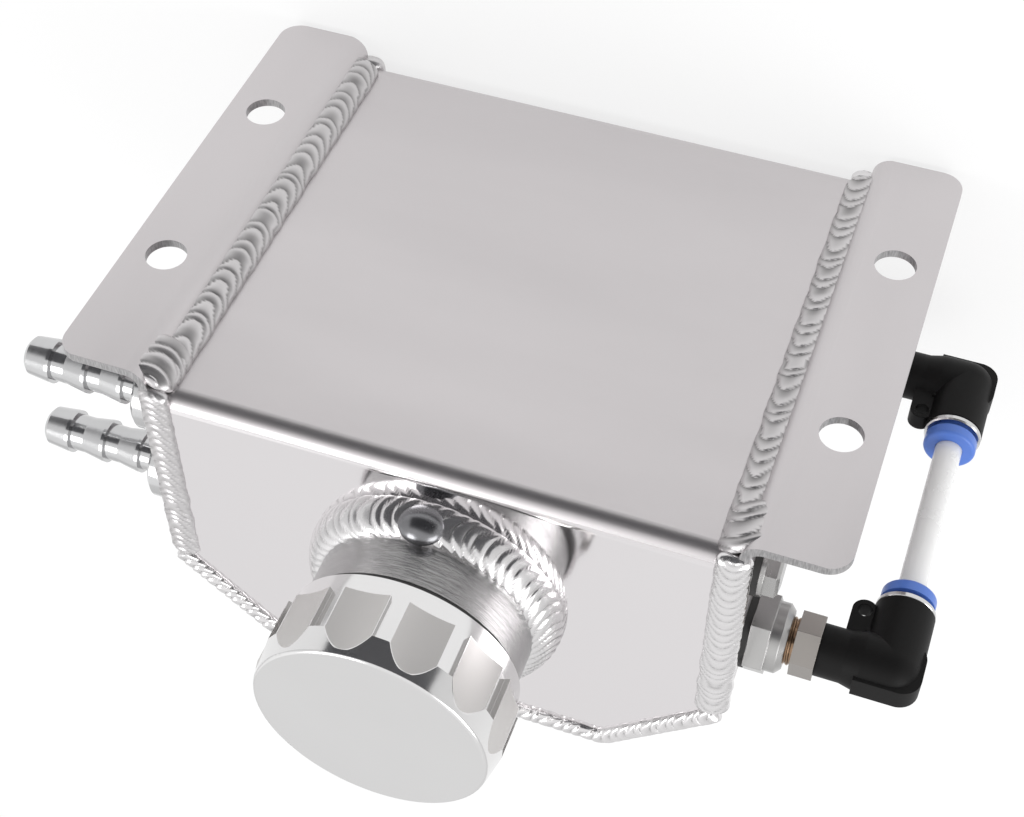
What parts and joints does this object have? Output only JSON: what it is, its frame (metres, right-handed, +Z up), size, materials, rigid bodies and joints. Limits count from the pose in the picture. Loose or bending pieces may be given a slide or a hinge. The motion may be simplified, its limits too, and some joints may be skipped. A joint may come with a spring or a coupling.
{
  "type": "coolant reservoir",
  "caption": "Welded aluminium coolant reservoir with mounting ears, a screwed filler cap, hose spigots and a sight tube between push-fit elbows.",
  "frame": {"origin": "centre of the four mounting holes, on the ears' back face", "axes": "+X towards the sight tube's side, +Y out of the ears' back face towards the firewall, +Z up towards the filler cap"},
  "size_m": [0.2002, 0.0849, 0.1542],
  "materials": {
    "sheet": "satin sheet",
    "weld": "rippled weld bead",
    "machined": "turned",
    "polished": "polished, with satin scallops",
    "nickel": "nickel-plated brass",
    "steel": "bright",
    "black_plastic": "moulded",
    "blue_plastic": "moulded",
    "clear_tube": "milky, see-through",
    "rubber": "matt"
  },
  "bodies": {
    "tank": {"shell_sheet": "sheet", "wrap_sheet": "sheet", "back_weld_left": "weld", "back_weld_right": "weld", "top_side_welds": "weld", "top_front_weld": "weld", "bottom_side_welds": "weld", "bottom_front_weld": "weld", "filler_neck": "machined", "neck_weld": "weld", "barb_bungs": "machined", "barb_bung_welds": "weld", "hose_barb_back": "machined", "hose_barb_front": "machined", "port_bungs": "machined", "upper_port_washer": "rubber", "lower_port_washer": "rubber", "upper_bushing": "machined", "lower_bushing": "machined", "upper_elbow_stud": "nickel", "lower_elbow_stud": "nickel", "upper_elbow_body": "black_plastic", "lower_elbow_body": "black_plastic", "upper_clamp_ring": "steel", "lower_clamp_ring": "steel", "upper_tube_seal": "rubber", "lower_tube_seal": "rubber", "upper_grab_ring": "steel", "lower_grab_ring": "steel", "sight_tube": "clear_tube", "port_plug": "machined", "plug_washer": "rubber"},
    "seal": {"cap_gasket": "rubber"},
    "cap": {"filler_cap": "polished"},
    "upper_release": {"upper_collet": "blue_plastic"},
    "lower_release": {"lower_collet": "blue_plastic"}
  },
  "joints": [
    {"name": "seal_lift", "type": "slide", "parent": "tank", "child": "seal", "axis": [0, 0, 1], "range_m": [0, 0.009]},
    {"name": "cap_turn", "type": "hinge", "parent": "seal", "child": "cap", "pos_m": [0, -0.043, 0.0756], "axis": [0, 0, 1], "range_deg": [0, 1080]},
    {"name": "upper_release_press", "type": "slide", "parent": "tank", "child": "upper_release", "axis": [0, 0, 1], "range_m": [0, 0.001], "stiffness_N_per_m": 500},
    {"name": "lower_release_press", "type": "slide", "parent": "tank", "child": "lower_release", "axis": [0, 0, -1], "range_m": [0, 0.001], "stiffness_N_per_m": 500}
  ],
  "couplings": [
    {"joint": "seal_lift", "follows": "cap_turn", "m_per_rad": 0.00047746}
  ]
}
